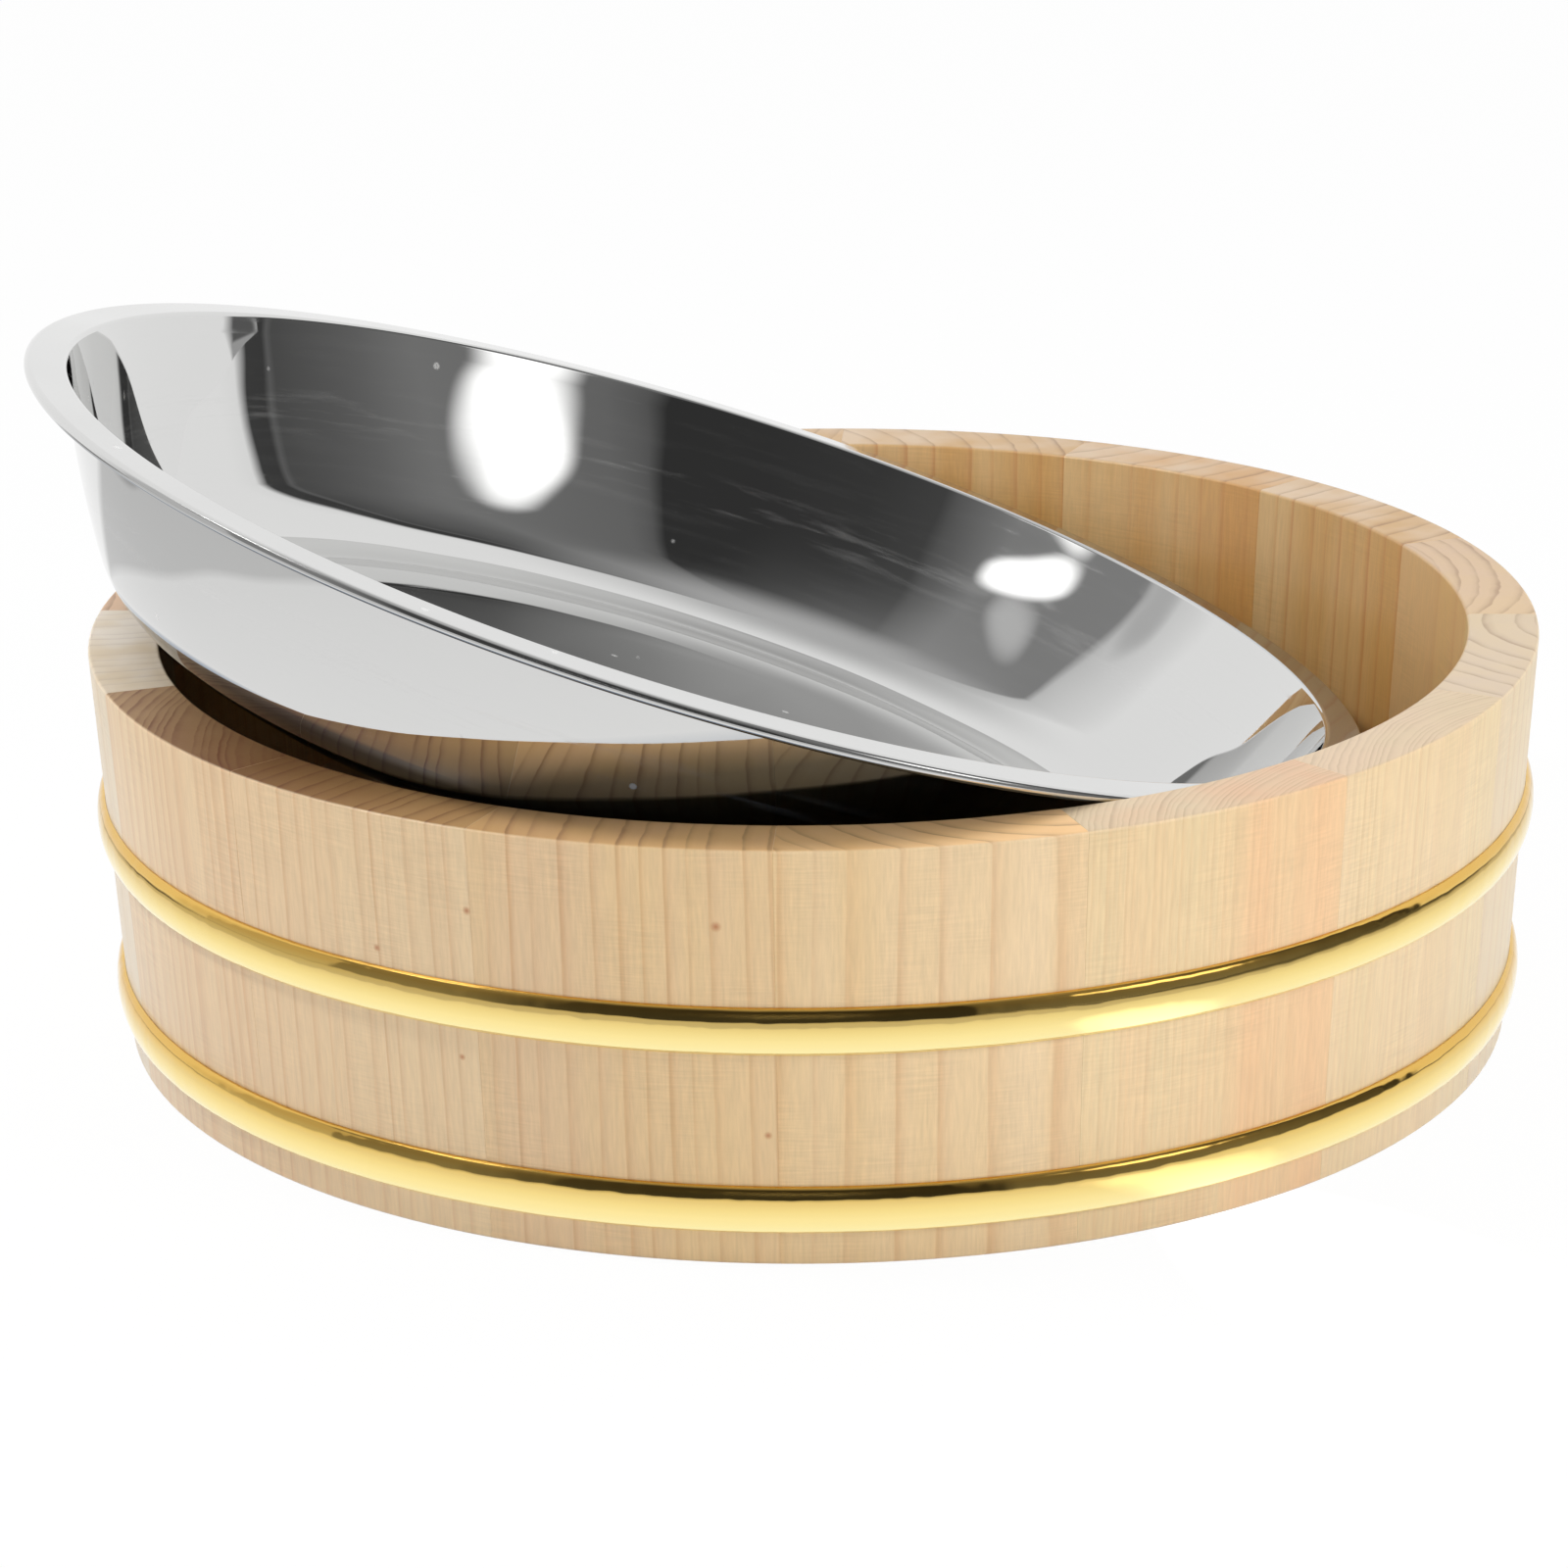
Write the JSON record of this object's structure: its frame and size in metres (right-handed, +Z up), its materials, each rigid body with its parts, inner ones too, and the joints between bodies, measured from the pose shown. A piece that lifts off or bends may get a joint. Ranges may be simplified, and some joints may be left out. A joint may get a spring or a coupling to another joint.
{
  "type": "sushi rice tub",
  "caption": "Round coopered wooden rice tub with flared staves, polished half-oval hoops, a raised board floor and a loose flanged steel bowl that leans in its mouth.",
  "frame": {"origin": "middle of the tub's standing plane, on the tub's own axis", "axes": "+Z up along the tub's axis, +X towards the bowl's low side as seen from the front, front of the picture towards -Y"},
  "size_m": [0.3402, 0.33, 0.1609],
  "materials": {
    "spruce": "planed and sanded, satin",
    "floor_wood": "planed, satin",
    "bamboo": "split and rounded",
    "hoop_brass": "polished",
    "bowl_steel": "mirror polished stainless steel"
  },
  "bodies": {
    "tub": {"stave_01": "spruce", "stave_02": "spruce", "stave_03": "spruce", "stave_04": "spruce", "stave_05": "spruce", "stave_06": "spruce", "stave_07": "spruce", "stave_08": "spruce", "stave_09": "spruce", "stave_10": "spruce", "stave_11": "spruce", "stave_12": "spruce", "stave_13": "spruce", "stave_14": "spruce", "stave_15": "spruce", "stave_16": "spruce", "floor_board_01": "floor_wood", "floor_board_02": "floor_wood", "floor_board_03": "floor_wood", "floor_board_04": "floor_wood", "hoop_upper": "hoop_brass", "hoop_lower": "hoop_brass", "stave_pegs": "bamboo", "floor_pegs": "bamboo"},
    "bowl": {"bowl": "bowl_steel"}
  },
  "joints": [
    {"name": "bowl_lift", "type": "slide", "parent": "tub", "child": "bowl", "axis": [0, 0, 1], "range_m": [0, 0.12]}
  ]
}
